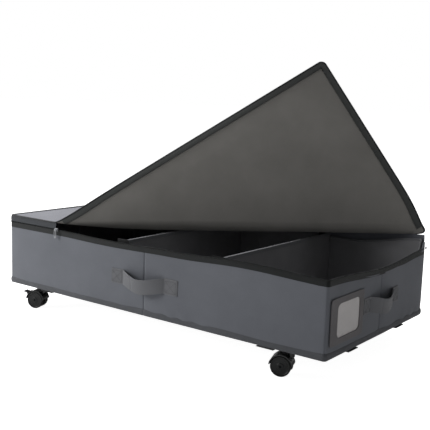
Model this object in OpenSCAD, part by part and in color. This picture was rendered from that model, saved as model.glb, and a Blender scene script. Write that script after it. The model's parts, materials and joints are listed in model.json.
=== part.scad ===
// Rolling under bed box: a soft-sided storage box on four swivel casters.
// Z = 0 is the floor under the wheels, -Y is the front, +X is the end with the label pocket.

/* [Box] */
// Outside length of the box
box_l = 1000; // [800:10:1100]
// Outside depth of the box, front to back
box_d = 500; // [450:5:600]
// Height of the fabric walls above the underside
wall_h = 159; // [140:1:180]
// Gap between the floor and the underside of the box
ground_gap = 62; // [61:1:66]
// Thickness of the outer fabric
fabric_t = 2; // [1.5:0.1:2]
// Thickness of the stiffening boards in the walls
board_t = 3; // [2:0.5:3]
// Thickness of the inner lining
lining_t = 1; // [0.6:0.1:1]

/* [Lid and zip] */
// Width of one zip tape as it stands on the wall
tape_h = 14; // [12:1:16]
// Thickness of the lid
lid_t = 2; // [1.5:0.5:2]
// Distance from the left end to the slider, where the lid starts to fold
slider_at = 185; // [160:5:240]
// Angle that the lid corner is folded back from shut
flap_open = 102; // [60:1:120]
// How far the rear corner of the lid stands up when it is folded back
corner_lift = 38; // [10:1:40]

/* [Webbing and label] */
// Width of the handle webbing
web_w = 36; // [30:1:40]
// How far a handle stands off its wall
handle_bow = 22; // [18:1:30]
// Height of the middle of the handles above the underside
handle_z = 86; // [75:1:95]
// Width of the label window
label_w = 102; // [90:1:106]
// Height of the label window
label_h = 76; // [60:1:80]

/* [Dividers] */
// Place of the left divider, from the middle of the box
divider_left_x = -64; // [-80:1:-50]
// Place of the right divider, from the middle of the box
divider_right_x = 230; // [210:1:240]
// Thickness of a divider
divider_t = 4; // [3:0.5:5]

/* [Casters] */
// Diameter of the wheels
wheel_d = 46; // [44:1:46]
// Width of each wheel of a pair
wheel_w = 12; // [10:1:13]
// Distance from the swivel pin to the axle
trail = 20; // [18:1:22]
// Direction in which the casters trail
caster_heading = 20; // [0:5:45]
// Distance from the ends of the box to the swivel pins
caster_inset_x = 100; // [90:5:120]
// Distance from the front and back to the swivel pins
caster_inset_y = 34; // [34:1:40]

/* [Hidden] */
$fn = 48;

fabric_dark = "#5c5e63";
fabric_lid = "#8f9197";
webbing = "#6e6f72";
black = "#15191a";
zip_black = "#26292a";
card_grey = "#c9c8c6";

half_l = box_l / 2;
half_d = box_d / 2;
// The front handle is the only one on its axis, so the box sits back by half its bow
// and the whole object stays centred on the origin.
centre_y = handle_bow / 2;
front_y = centre_y - half_d;
back_y = centre_y + half_d;
base_z = ground_gap;
fabric_top = base_z + wall_h;
zip_z = fabric_top + tape_h;
lid_z = zip_z + tape_h + lid_t;
lid_mid = lid_z + lid_t / 2;

wall_t = fabric_t + board_t + lining_t;
in_l = half_l - wall_t;
in_d = half_d - wall_t;
floor_in = base_z + fabric_t;

tube_r = 6;
tube_wall = 1;
tube_z = floor_in + tube_r;
tube_gap = 0.5;
cross_tube_x = 290;
floor_t = 3;
floor_z = floor_in + 2 * tube_r;
floor_top = floor_z + floor_t;

fold_gap = 3;
fold_bead_r = 1.5;
piping_r = 2.2;
lid_inset = 3;
lift_from = 100;
tape_t = 1;
coil_w = 4;
coil_t = 2;

band_h = 16;
band_t = 1.5;
strap_t = 2;
strap_w = 45;
patch_t = 1;
web_t = 2;
front_half = 106;
front_patch = 40;
end_half = 88;
end_patch = 30;

plate_w = 38;
plate_t = 2;
screw_at = 13;
screw_r = 1.75;
screw_fit = 0.05;
pin_r = 4;
pin_fit = 0.05;
axle_r = 3;
axle_fit = 0.06;
wheel_r = wheel_d / 2;
web_half = 4.4;
wheel_in = 5;
hood_half = wheel_in + wheel_w + 0.6;
hood_in = wheel_r + 1.3;
hood_out = hood_in + 2.4;
boss_r = 8;
boss_top = ground_gap - plate_t - 0.4;
boss_low = wheel_r + 21;
pedal_out = hood_out + 3.2;
pedal_rise = 35;
pedal_pin_r = 1.5;
pedal_half = 10;

// The fold runs from the slider to the lifted rear corner.
fold_start = [slider_at - half_l, front_y, lid_mid];
fold_end = [half_l, back_y, lid_mid + corner_lift];
fold_run = fold_end - fold_start;
fold_len = norm(fold_run);
fold_heading = atan2(fold_run.y, fold_run.x);
fold_tilt = atan2(fold_run.z, norm([fold_run.x, fold_run.y]));
shut_corner = [half_l, front_y, lid_mid] - fold_start;
fold_u = [cos(fold_tilt) * cos(fold_heading), cos(fold_tilt) * sin(fold_heading), sin(fold_tilt)];
fold_v = [-sin(fold_heading), cos(fold_heading), 0];
fold_n = cross(fold_u, fold_v);
corner_u = shut_corner * fold_u;
corner_r = norm([shut_corner * fold_v, shut_corner * fold_n]);
shut_roll = atan2(-(shut_corner * fold_n), -(shut_corner * fold_v));

function fold_x(y) = fold_start.x + (y - front_y) * fold_run.x / fold_run.y - fold_gap / sin(fold_heading);
function fold_rise(y) = corner_lift * (y - front_y) / box_d;
function bow(s, depth) = depth * pow(sin(180 * s), 0.8);
function caster_at(i) = [(i % 2 == 0 ? -1 : 1) * (half_l - caster_inset_x),
                         centre_y + (i < 2 ? -1 : 1) * (half_d - caster_inset_y)];

// A straight wall strip with mitred ends. turn is 0 for the front and 180 for the back.
module long_strip(turn, inset, t, z, h) {
    l = half_l - inset;
    d = half_d - inset;
    translate([0, centre_y, z]) rotate([0, 0, turn]) linear_extrude(height = h)
        polygon([[-l, -d], [l, -d], [l - t, -d + t], [-l + t, -d + t]]);
}

// The same for the ends. turn is 0 for the right end and 180 for the left.
module end_strip(turn, inset, t, z, h) {
    l = half_l - inset;
    d = half_d - inset;
    translate([0, centre_y, z]) rotate([0, 0, turn]) linear_extrude(height = h)
        polygon([[l, -d], [l, d], [l - t, d - t], [l - t, -d + t]]);
}

// Two boards with the fold seam between them.
module board_pair(turn, half_run, reach) {
    seam = 3;
    stand = 2;
    translate([0, centre_y, floor_in + stand]) rotate([0, 0, turn]) for (side = [-1, 1])
        translate([side > 0 ? seam : -half_run, -reach, 0])
            cube([half_run - seam, board_t, wall_h - fabric_t - 2 * stand]);
}

module rounded_rect(w, h, r) {
    square([w - 2 * r, h], center = true);
    square([w, h - 2 * r], center = true);
    for (x = [-1, 1], y = [-1, 1]) translate([x * (w / 2 - r), y * (h / 2 - r)]) circle(r);
}

// A round rod between two points of the local XY plane.
module rod(from, to, r) {
    run = to - from;
    translate([from.x, from.y, 0]) rotate([0, 90, atan2(run.y, run.x)]) cylinder(h = norm(run), r = r);
}

// A sheet of even height over a CCW outline whose corners stand at different heights.
module bent_sheet(pts, tris, t) {
    n = len(pts);
    polyhedron(
        points = concat(pts, [for (p = pts) p - [0, 0, t]]),
        faces = concat(
            [for (f = tris) [f[2], f[1], f[0]]],
            [for (f = tris) [f[0] + n, f[1] + n, f[2] + n]],
            [for (i = [0 : n - 1]) [i, (i + 1) % n, (i + 1) % n + n, i + n]]
        )
    );
}

module fold_frame() {
    translate(fold_start) rotate([0, -fold_tilt, fold_heading])
        rotate([shut_roll - flap_open, 0, 0]) children();
}

module front_panel() { color(fabric_dark) long_strip(0, 0, fabric_t, base_z, wall_h); }
module back_panel() { color(fabric_dark) long_strip(180, 0, fabric_t, base_z, zip_z + tape_h - base_z); }
module right_panel() { color(fabric_dark) end_strip(0, 0, fabric_t, base_z, wall_h); }
module left_panel() { color(fabric_dark) end_strip(180, 0, fabric_t, base_z, wall_h); }

module bottom_panel() {
    color(fabric_dark) difference() {
        translate([-half_l + fabric_t, front_y + fabric_t, base_z])
            cube([box_l - 2 * fabric_t, box_d - 2 * fabric_t, fabric_t]);
        screw_holes(base_z - 1, fabric_t + 2);
    }
}

module front_boards() { color("tan") board_pair(0, in_l, half_d - fabric_t); }
module back_boards() { color("tan") board_pair(180, in_l, half_d - fabric_t); }
module right_boards() { color("tan") board_pair(90, in_d, half_l - fabric_t); }
module left_boards() { color("tan") board_pair(270, in_d, half_l - fabric_t); }

module wall_lining() {
    inset = fabric_t + board_t;
    h = wall_h - fabric_t - 1;
    color(fabric_lid) for (turn = [0, 180]) {
        long_strip(turn, inset, lining_t, floor_in, h);
        end_strip(turn, inset, lining_t, floor_in, h);
    }
}

module floor_board() {
    clear = 1;
    color("#4a4a4c") translate([-in_l + clear, centre_y - in_d + clear, floor_z])
        cube([2 * (in_l - clear), 2 * (in_d - clear), floor_t]);
}

module tube(length) {
    rotate([0, 90, 0]) difference() {
        cylinder(h = length, r = tube_r, center = true);
        cylinder(h = length + 2, r = tube_r - tube_wall, center = true);
    }
}

module frame_long_tubes() {
    length = 2 * (in_l - 2 * tube_r - 2 * tube_gap);
    color("silver") for (side = [-1, 1])
        translate([0, centre_y + side * (in_d - tube_r - tube_gap), tube_z]) tube(length);
}

module frame_end_tubes() {
    color("silver") for (side = [-1, 1])
        translate([side * (in_l - tube_r - tube_gap), centre_y, tube_z])
            rotate([0, 0, 90]) tube(2 * (in_d - tube_gap));
}

module frame_cross_tubes() {
    length = 2 * (in_d - 2 * tube_r - 2 * tube_gap);
    color("silver") for (side = [-1, 1])
        translate([side * cross_tube_x, centre_y, tube_z]) rotate([0, 0, 90]) tube(length);
}

module screw_places() {
    for (i = [0 : 3], x = [-1, 1], y = [-1, 1])
        translate([caster_at(i).x + x * screw_at, caster_at(i).y + y * screw_at, 0]) children();
}

module screw_holes(z, h) { screw_places() translate([0, 0, z]) cylinder(h = h, r = screw_r + screw_fit); }

// Blocks inside the base that the casters are screwed to, cut away beside the long tubes.
module caster_blocks() {
    block_h = 2 * tube_r - 1;
    color(black) difference() {
        for (i = [0 : 3]) translate([caster_at(i).x - 24, caster_at(i).y - 15.5, floor_in])
            cube([48, 31, block_h]);
        screw_holes(floor_in - 1, block_h + 2);
    }
}

module caster_plates() {
    color("#8a8c8e") difference() {
        for (i = [0 : 3]) translate([caster_at(i).x, caster_at(i).y, base_z - plate_t]) {
            linear_extrude(height = plate_t) rounded_rect(plate_w, plate_w, 4);
            translate([0, 0, boss_low + 2 - base_z + plate_t])
                cylinder(h = base_z - plate_t - boss_low - 2, r = pin_r);
        }
        screw_holes(base_z - plate_t - 1, plate_t + 2);
    }
}

module plate_screws() {
    head_h = 1.6;
    shank = plate_t + fabric_t + 9;
    color("silver") screw_places() translate([0, 0, base_z - plate_t]) {
        translate([0, 0, -head_h]) cylinder(h = head_h, r = 3.2);
        cylinder(h = shank, r = screw_r);
    }
}

// Webbing under the box: two straps run lengthwise over two that run front to back.
module under_straps() {
    long_y = 122;
    short_x = 352;
    color(black) {
        for (side = [-1, 1]) {
            translate([-half_l, centre_y + side * long_y - strap_w / 2, base_z - 2 * strap_t])
                cube([box_l, strap_w, strap_t]);
            translate([side * short_x - strap_w / 2, front_y, base_z - strap_t])
                cube([strap_w, box_d, strap_t]);
        }
    }
}

module bottom_band() {
    lift = 2;
    color(webbing) for (turn = [0, 180]) {
        long_strip(turn, -band_t, band_t, base_z + lift, band_h);
        end_strip(turn, -band_t, band_t, base_z + lift, band_h);
    }
}

// The closed zip runs round the left end to the slider; from there on it is open.
module zip_tape_lower() {
    color(zip_black) {
        long_strip(0, 0, tape_t, fabric_top, tape_h);
        end_strip(0, 0, tape_t, fabric_top, tape_h);
        end_strip(180, 0, tape_t, fabric_top, tape_h);
    }
}

module front_to_slider(inset, t, z, h) {
    translate([-half_l + inset, front_y + inset, z])
        cube([slider_at - inset, t, h]);
}

module left_end(inset, t, z, h) {
    translate([-half_l + inset, front_y + inset + t, z])
        cube([t, box_d - fabric_t - 2 * inset - t, h]);
}

module zip_tape_lid() {
    color(zip_black) {
        front_to_slider(0, tape_t, zip_z, tape_h);
        left_end(0, tape_t, zip_z, tape_h);
    }
}

module zip_coil_closed() {
    color(black) {
        translate([-half_l - coil_t, front_y - coil_t, zip_z - coil_w / 2]) cube([slider_at, coil_t, coil_w]);
        translate([-half_l - coil_t, front_y, zip_z - coil_w / 2])
            cube([coil_t, box_d - fabric_t, coil_w]);
    }
}

module zip_coil_lower() {
    start = slider_at - half_l + 14;
    color(black) {
        translate([start, front_y - coil_t, zip_z - coil_w / 2])
            cube([half_l + coil_t - start, coil_t, coil_w / 2]);
        translate([half_l, front_y, zip_z - coil_w / 2]) cube([coil_t, box_d - fabric_t, coil_w / 2]);
    }
}

module zip_stops() {
    stop = 6;
    color("silver") for (side = [-1, 1])
        translate([side * (half_l + coil_t / 2) - coil_t / 2, back_y - fabric_t, zip_z - stop / 2])
            cube([coil_t, 2 * fabric_t, stop]);
}

module lid_panel() {
    f = front_y + lid_inset;
    b = back_y - lid_inset;
    l = -half_l + lid_inset;
    top = lid_z + lid_t;
    color(fabric_lid) bent_sheet(
        [[l, f, top], [fold_x(f), f, top + fold_rise(f)], [fold_x(b), b, top + fold_rise(b)],
         [half_l - lift_from, b, top], [l, b, top]],
        [[0, 1, 3], [1, 2, 3], [0, 3, 4]], lid_t);
}

module lid_piping() {
    edge = lid_inset - piping_r;
    color(zip_black) translate([0, 0, lid_mid]) {
        rod([-half_l + edge, front_y + edge], [slider_at - half_l - 8, front_y + edge], piping_r - 0.2);
        rod([-half_l + edge, front_y + 2 * piping_r], [-half_l + edge, back_y - 2 * piping_r], piping_r - 0.2);
        rod([-half_l + 2 * piping_r, back_y - edge], [half_l - lift_from, back_y - edge], piping_r - 0.2);
    }
}

// A handle lies flat on its two patches and stands off the wall between them.
module handle_strap(half_run, patch) {
    steps = 24;
    free = half_run - patch;
    line = concat(
        [[-half_run, 0]],
        [for (i = [0 : steps]) [-free + 2 * free * i / steps, bow(i / steps, handle_bow - patch_t - web_t)]],
        [[half_run, 0]]
    );
    color(webbing) translate([0, 0, base_z + handle_z - web_w / 2]) linear_extrude(height = web_w)
        polygon(concat(
            [for (p = line) [p.x, -patch_t - p.y]],
            [for (i = [len(line) - 1 : -1 : 0]) [line[i].x, -patch_t - web_t - line[i].y]]
        ));
}

module handle_side(i) {
    if (i == 0) translate([0, front_y, 0]) children();
    if (i == 1) translate([half_l, centre_y, 0]) rotate([0, 0, 90]) children();
    if (i == 2) translate([-half_l, centre_y, 0]) rotate([0, 0, -90]) children();
}

module front_handle() { handle_side(0) handle_strap(front_half, front_patch); }
module right_handle() { handle_side(1) handle_strap(end_half, end_patch); }
module left_handle() { handle_side(2) handle_strap(end_half, end_patch); }

module handle_patches() {
    margin = 2;
    half_runs = [front_half, end_half, end_half];
    widths = [front_patch, end_patch, end_patch];
    color(webbing) for (i = [0 : 2], side = [-1, 1]) handle_side(i)
        translate([side * (half_runs[i] - widths[i] / 2), 0, base_z + handle_z])
            rotate([90, 0, 0]) linear_extrude(height = patch_t)
                square([widths[i] + 2 * margin, web_w + 2 * margin], center = true);
}

// The label pocket is sewn to the right end, next to its front corner.
label_y = 89;
label_z = 79;
module on_right_end() {
    translate([half_l, front_y + label_y, base_z + label_z]) rotate([90, 0, 90]) children();
}

module label_frame() {
    color(webbing) on_right_end() difference() {
        linear_extrude(height = 2) translate([-5, 0]) square([148, 102], center = true);
        translate([0, 0, -1]) linear_extrude(height = 4) rounded_rect(label_w, label_h, 8);
    }
}

module label_card() {
    color(card_grey) on_right_end() translate([0, 0, 0.2])
        linear_extrude(height = 0.6) rounded_rect(label_w - 2, label_h - 2, 7);
}

module label_window() {
    color("white", 0.4) on_right_end() translate([0, 0, 1])
        linear_extrude(height = 0.5) rounded_rect(label_w - 2, label_h - 2, 7);
}

// The free corner of the lid, drawn in the plane of the fold: X runs along the fold.
flap_corner = [corner_u, -corner_r];
flap_far = [fold_len, 0];
function along(a, b, t) = a + (b - a) * t;
function inward(a, b) = [-(b - a).y, (b - a).x] / norm(b - a);

module lid_flap() {
    fold_in = 12;
    color(fabric_lid) fold_frame() {
        translate([0, 0, -lid_t / 2]) linear_extrude(height = lid_t) polygon([
            [fold_in, 0],
            [fold_in, -fold_in * 0.3],
            along([0, 0], flap_corner, 0.03) + piping_r * inward([0, 0], flap_corner),
            flap_corner + piping_r * (inward([0, 0], flap_corner) + inward(flap_corner, flap_far)),
            along(flap_corner, flap_far, 0.97) + piping_r * inward(flap_corner, flap_far),
            [fold_len - fold_in, 0]
        ]);
        rod([fold_in, 0], [fold_len - fold_in, 0], fold_bead_r);
    }
}

module flap_piping() {
    color(zip_black) fold_frame() {
        rod(along([0, 0], flap_corner, 0.03), along([0, 0], flap_corner, 0.99), piping_r - 0.4);
        rod(along(flap_corner, flap_far, 0.02), along(flap_corner, flap_far, 0.96), piping_r - 0.4);
    }
}

// The upper zip tape lies folded in against the underside of the free corner.
module flap_strip(a, b, t0, t1, off, w, z, t) {
    side = inward(a, b);
    translate([0, 0, z]) linear_extrude(height = t) polygon([
        along(a, b, t0) + off * side, along(a, b, t1) + off * side,
        along(a, b, t1) + (off + w) * side, along(a, b, t0) + (off + w) * side
    ]);
}

tape_off = 5;
tape_reach = tape_h - coil_w / 2;
module flap_tape() {
    z = -lid_t / 2 - tape_t;
    color(zip_black) fold_frame() {
        flap_strip([0, 0], flap_corner, 0.05, 0.965, tape_off, tape_reach, z, tape_t);
        flap_strip(flap_corner, flap_far, 0.05, 0.93, tape_off, tape_reach, z, tape_t);
    }
}

module flap_coil() {
    z = -lid_t / 2 - tape_t - coil_t;
    off = tape_off + tape_reach - coil_w / 2;
    color(black) fold_frame() {
        flap_strip([0, 0], flap_corner, 0.06, 0.965, off, coil_w / 2, z, coil_t);
        flap_strip(flap_corner, flap_far, 0.05, 0.92, off, coil_w / 2, z, coil_t);
    }
}

// The slider rides on the closed coil just before the fold, with its pull hanging from a bridge.
slider_x = slider_at - half_l;
slider_l = 12;
slider_h = 10;
slider_out = 3;
bridge_y = front_y - coil_t - slider_out - 2.2;
module zip_slider() {
    color("#8d8f92") {
        difference() {
            translate([slider_x, front_y - coil_t - slider_out, zip_z - slider_h / 2])
                cube([slider_l, slider_out + coil_t - 0.3, slider_h]);
            translate([slider_x - 1, front_y - coil_t - 0.3, zip_z - coil_w / 2 - 0.3])
                cube([slider_l + 2, coil_t + 1, coil_w + 0.6]);
        }
        translate([slider_x, bridge_y, zip_z + 1]) rotate([0, 90, 0]) cylinder(h = slider_l, r = 0.8);
        for (x = [0, slider_l - 1.5]) translate([slider_x + x, bridge_y, zip_z + 0.2])
            cube([1.5, 2.4, 1.6]);
    }
}

module pull_tab() {
    tab_l = 24;
    tab_w = 8;
    color("#8d8f92") difference() {
        union() {
            translate([slider_x + (slider_l - tab_w) / 2, bridge_y - 0.7, zip_z + 1 - tab_l])
                cube([tab_w, 1.4, tab_l]);
            translate([slider_x + (slider_l - tab_w) / 2, bridge_y, zip_z + 1])
                rotate([0, 90, 0]) cylinder(h = tab_w, r = 1.7);
        }
        translate([slider_x - 1, bridge_y, zip_z + 1]) rotate([0, 90, 0]) cylinder(h = slider_l + 2, r = 0.9);
    }
}

// Dividers hang between the long walls on hook-and-loop tabs. They are just clear of the floor,
// and stand a little over the zip, below the shut lid.
divider_low = floor_top + 3;
divider_rise = 5;
divider_top = zip_z + divider_rise;
binding_h = 8;
tab_t = 1.5;
divider_gap = 2.5;
module divider_panel(x) {
    color(fabric_dark) translate([x - divider_t / 2, centre_y - in_d + divider_gap, divider_low])
        cube([divider_t, 2 * (in_d - divider_gap), divider_top - binding_h - divider_low]);
}

module divider_binding(x) {
    color(fabric_lid) translate([x - divider_t / 2 - 0.5, centre_y - in_d + divider_gap, divider_top - binding_h])
        cube([divider_t + 1, 2 * (in_d - divider_gap), binding_h]);
}

module divider_tabs(x) {
    tab_h = 24;
    tab_run = 30;
    color(black) for (side = [-1, 1])
        translate([x - divider_t / 2 - 0.5 - tab_run, centre_y + side * (in_d - 0.5 - tab_t / 2) - tab_t / 2,
                   divider_top - tab_h])
            cube([tab_run + divider_t + 1, tab_t, tab_h]);
}

module divider_left_panel() { divider_panel(divider_left_x); }
module divider_left_binding() { divider_binding(divider_left_x); }
module divider_left_tabs() { divider_tabs(divider_left_x); }
module divider_right_panel() { divider_panel(divider_right_x); }
module divider_right_binding() { divider_binding(divider_right_x); }
module divider_right_tabs() { divider_tabs(divider_right_x); }

// Caster parts are drawn round the swivel pin, with the wheels trailing towards -X.
module at_caster(i) {
    translate([caster_at(i).x, caster_at(i).y, 0]) rotate([0, 0, caster_heading]) children();
}

module across(half_w, r) {
    translate([-trail, 0, wheel_r]) rotate([90, 0, 0]) cylinder(h = 2 * half_w, r = r, center = true);
}

module hood(has_pedal) {
    color(black) difference() {
        union() {
            intersection() {
                difference() {
                    across(hood_half, hood_out);
                    across(hood_half + 1, hood_in);
                }
                translate([-trail - hood_out - 1, -hood_half - 1, wheel_r + 3])
                    cube([2 * hood_out + 2, 2 * hood_half + 2, hood_out + 2]);
            }
            intersection() {
                across(web_half, hood_in + 0.5);
                translate([-trail - hood_out, -web_half - 1, wheel_r - 7])
                    cube([2 * hood_out, 2 * web_half + 2, hood_out + 9]);
            }
            translate([0, 0, boss_low]) cylinder(h = boss_top - boss_low, r = boss_r);
            if (has_pedal) pedal_ears();
        }
        across(web_half + 1, axle_r);
        translate([0, 0, boss_low + 1]) cylinder(h = boss_top, r = pin_r + pin_fit);
    }
}

module at_pedal_pin() {
    translate([-trail - pedal_out * cos(pedal_rise), 0, wheel_r + pedal_out * sin(pedal_rise)]) children();
}

module pedal_ears() {
    ear_t = 2.5;
    difference() {
        for (side = [-1, 1]) translate([0, side * (pedal_half + 0.4 + ear_t / 2), 0]) hull() {
            at_pedal_pin() rotate([90, 0, 0]) cylinder(h = ear_t, r = 2.8, center = true, $fn = 32);
            translate([-trail - (hood_in + 1.2) * cos(pedal_rise), 0, wheel_r + (hood_in + 1.2) * sin(pedal_rise)])
                rotate([90, 0, 0]) cylinder(h = ear_t, r = 1.1, center = true, $fn = 32);
        }
        at_pedal_pin() rotate([90, 0, 0]) cylinder(h = 40, r = pedal_pin_r + pin_fit, center = true);
    }
}

module pedal() {
    color("#2b2e2f") at_pedal_pin() {
        rotate([90, 0, 0]) cylinder(h = 2 * pedal_half, r = 2.4, center = true);
        rotate([90, 0, 0]) cylinder(h = 2 * pedal_half + 5, r = pedal_pin_r, center = true);
        rotate([0, 12, 0]) translate([-14, 1 - pedal_half, -1.2]) cube([14.5, 2 * pedal_half - 2, 2.4]);
    }
}

module wheels() {
    edge = 1.5;
    color("#1d2122") for (side = [-1, 1])
        translate([-trail, side * wheel_in, wheel_r]) rotate([side * -90, 0, 0]) rotate_extrude($fn = 64)
            polygon([
                [axle_r + axle_fit, 0], [wheel_r - edge, 0], [wheel_r, edge], [wheel_r, wheel_w - edge],
                [wheel_r - edge, wheel_w], [wheel_r - 4, wheel_w], [wheel_r - 5, wheel_w - 1],
                [8, wheel_w - 1], [7, wheel_w], [axle_r + axle_fit, wheel_w]
            ]);
}

module axle() { color("silver") across(wheel_in + wheel_w - 0.5, axle_r); }

module caster_fl_hood() { at_caster(0) hood(true); }
module caster_fl_wheels() { at_caster(0) wheels(); }
module caster_fl_axle() { at_caster(0) axle(); }
module caster_fl_pedal() { at_caster(0) pedal(); }
module caster_fr_hood() { at_caster(1) hood(false); }
module caster_fr_wheels() { at_caster(1) wheels(); }
module caster_fr_axle() { at_caster(1) axle(); }
module caster_bl_hood() { at_caster(2) hood(false); }
module caster_bl_wheels() { at_caster(2) wheels(); }
module caster_bl_axle() { at_caster(2) axle(); }
module caster_br_hood() { at_caster(3) hood(true); }
module caster_br_wheels() { at_caster(3) wheels(); }
module caster_br_axle() { at_caster(3) axle(); }
module caster_br_pedal() { at_caster(3) pedal(); }

front_panel();
back_panel();
left_panel();
right_panel();
bottom_panel();
front_boards();
back_boards();
left_boards();
right_boards();
wall_lining();
floor_board();
frame_long_tubes();
frame_end_tubes();
frame_cross_tubes();
caster_blocks();
caster_plates();
plate_screws();
under_straps();
bottom_band();
zip_tape_lower();
zip_tape_lid();
zip_coil_closed();
zip_coil_lower();
zip_stops();
lid_panel();
lid_piping();
front_handle();
right_handle();
left_handle();
handle_patches();
label_frame();
label_window();
label_card();
lid_flap();
flap_piping();
flap_tape();
flap_coil();
zip_slider();
pull_tab();
divider_left_panel();
divider_left_binding();
divider_left_tabs();
divider_right_panel();
divider_right_binding();
divider_right_tabs();
caster_fl_hood();
caster_fl_wheels();
caster_fl_axle();
caster_fl_pedal();
caster_fr_hood();
caster_fr_wheels();
caster_fr_axle();
caster_bl_hood();
caster_bl_wheels();
caster_bl_axle();
caster_br_hood();
caster_br_wheels();
caster_br_axle();
caster_br_pedal();
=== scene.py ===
# %% [markdown]
# # A rolling under bed box
# The real object is a long, low box of grey polyester cloth over thin boards. It rolls on four
# swivel casters, its lid is sewn to the back and zipped round the other sides, and here one corner
# of the lid is unzipped and folded back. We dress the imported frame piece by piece: the frame gives
# the main sizes and places, and each cell below makes one piece or one finish. Small sizes, such as
# the width of a tape, are written in the cell that uses them.

# %% Load the frame
import json
import math

import bpy
import numpy as np
from mathutils import Matrix, Vector


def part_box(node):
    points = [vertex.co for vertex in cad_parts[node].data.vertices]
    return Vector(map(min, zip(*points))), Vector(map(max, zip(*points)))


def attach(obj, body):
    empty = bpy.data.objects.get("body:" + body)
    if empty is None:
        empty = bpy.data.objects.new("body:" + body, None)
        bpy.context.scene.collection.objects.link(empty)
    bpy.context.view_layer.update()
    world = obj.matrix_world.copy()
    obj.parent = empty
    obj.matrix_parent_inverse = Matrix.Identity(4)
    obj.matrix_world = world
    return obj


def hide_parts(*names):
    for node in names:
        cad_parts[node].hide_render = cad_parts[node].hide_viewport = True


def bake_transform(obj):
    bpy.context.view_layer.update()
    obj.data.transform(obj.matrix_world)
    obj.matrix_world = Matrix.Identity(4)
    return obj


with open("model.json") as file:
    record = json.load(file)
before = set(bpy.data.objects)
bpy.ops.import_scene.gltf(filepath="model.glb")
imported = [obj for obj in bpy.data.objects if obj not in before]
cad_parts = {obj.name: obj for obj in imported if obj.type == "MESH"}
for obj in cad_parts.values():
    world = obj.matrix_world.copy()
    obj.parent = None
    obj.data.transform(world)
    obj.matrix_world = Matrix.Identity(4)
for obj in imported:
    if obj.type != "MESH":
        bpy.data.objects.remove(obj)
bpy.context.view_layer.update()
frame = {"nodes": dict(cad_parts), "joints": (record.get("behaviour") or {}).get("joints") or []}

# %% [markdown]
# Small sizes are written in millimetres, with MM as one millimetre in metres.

MM = 0.001

# %% [markdown]
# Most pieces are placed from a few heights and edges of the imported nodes, which are read here,
# once. The tubes and straps under the base and the angle of the opened lid are written further
# down, so those would have to be changed by hand if the frame changed.

# %% Heights and edges of the box
wall_lo, wall_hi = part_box("front_panel")
half_l, front_y, base_z, cloth_top = wall_hi.x, wall_lo.y, wall_lo.z, wall_hi.z
back_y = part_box("back_panel")[1].y
centre_y, half_d = (front_y + back_y) / 2, (back_y - front_y) / 2
zip_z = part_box("zip_tape_lower")[1].z
lid_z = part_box("lid_panel")[0].z + 1 * MM
floor_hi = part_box("floor_board")[1]
fold = next(j for j in frame["joints"] if j["name"] == "flap_fold")
slider_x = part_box("zip_slider")[0].x
wall_h = cloth_top - base_z
print(f"walls {wall_h:.3f} high, zip at {zip_z:.3f}, lid at {lid_z:.3f}")

# %% [markdown]
# ## Camera, floor and light
# A long lens from the front right, a little above the box, shows the front, the end with the label
# and the inside of the raised corner. The camera is built from two angles and a roll, so that it is
# easy to read and to change.

# %% Camera
AZIMUTH, ELEVATION, ROLL = math.radians(36.753), math.radians(8.494), math.radians(1.929)
EYE = Vector((1.2339, -1.6144, 0.5906))
camera_data = bpy.data.cameras.new("camera")
camera = bpy.data.objects.new("camera", camera_data)
bpy.context.scene.collection.objects.link(camera)
backwards = Vector((math.sin(AZIMUTH) * math.cos(ELEVATION),
                    -math.cos(AZIMUTH) * math.cos(ELEVATION), math.sin(ELEVATION)))
level = Vector((math.cos(AZIMUTH), math.sin(AZIMUTH), 0))
upwards = backwards.cross(level)
right = level * math.cos(ROLL) + upwards * math.sin(ROLL)
top = upwards * math.cos(ROLL) - level * math.sin(ROLL)
camera.matrix_world = Matrix.Translation(EYE) @ Matrix((right, top, backwards)).transposed().to_4x4()
camera_data.lens, camera_data.sensor_width = 65.42, 36.0
camera_data.clip_start, camera_data.clip_end = 0.05, 60.0
bpy.context.scene.camera = camera
print("camera", [round(x, 3) for x in camera.location], "lens", camera_data.lens)

# %% [markdown]
# A studio floor is one wide pale sheet that fades into an even pale background. It is primitive on
# purpose: it isn't part of the object. The background is brighter to the eye than to the object,
# so that the soft lamps still give the box its light and dark sides.

# %% Floor and background
bpy.ops.object.select_all(action="DESELECT")
bpy.ops.mesh.primitive_plane_add(size=120.0, location=(0, 0, -0.0005))
floor = bpy.context.object
floor.name = "studio_floor"
floor_paint = bpy.data.materials.new("studio_floor")
floor_paint.use_nodes = True
floor_shader = floor_paint.node_tree.nodes["Principled BSDF"]
floor_shader.inputs["Base Color"].default_value = (0.7, 0.7, 0.7, 1)
floor_shader.inputs["Roughness"].default_value = 0.95
floor_shader.inputs["Specular IOR Level"].default_value = 0.0
floor_shader.inputs["Emission Color"].default_value = (1, 1, 1, 1)


def bright_to_the_eye(tree, socket, on_object, to_camera):
    """A strength that is weak for the light on the object and strong for what the camera sees."""
    rays = tree.nodes.new("ShaderNodeLightPath")
    strength = tree.nodes.new("ShaderNodeMapRange")
    strength.inputs["To Min"].default_value = on_object
    strength.inputs["To Max"].default_value = to_camera
    tree.links.new(rays.outputs["Is Camera Ray"], strength.inputs["Value"])
    tree.links.new(strength.outputs["Result"], socket)


bright_to_the_eye(floor_paint.node_tree, floor_shader.inputs["Emission Strength"], 0.06, 0.96)
floor.data.materials.append(floor_paint)
world = bpy.data.worlds.new("studio")
world.use_nodes = True
background = world.node_tree.nodes["Background"]
bright_to_the_eye(world.node_tree, background.inputs["Strength"], 0.14, 1.0)
background.inputs["Color"].default_value = (1.0, 1.0, 1.0, 1)
bpy.context.scene.world = world
bpy.context.scene.view_settings.view_transform = "Standard"
print("floor and background ready")

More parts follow.
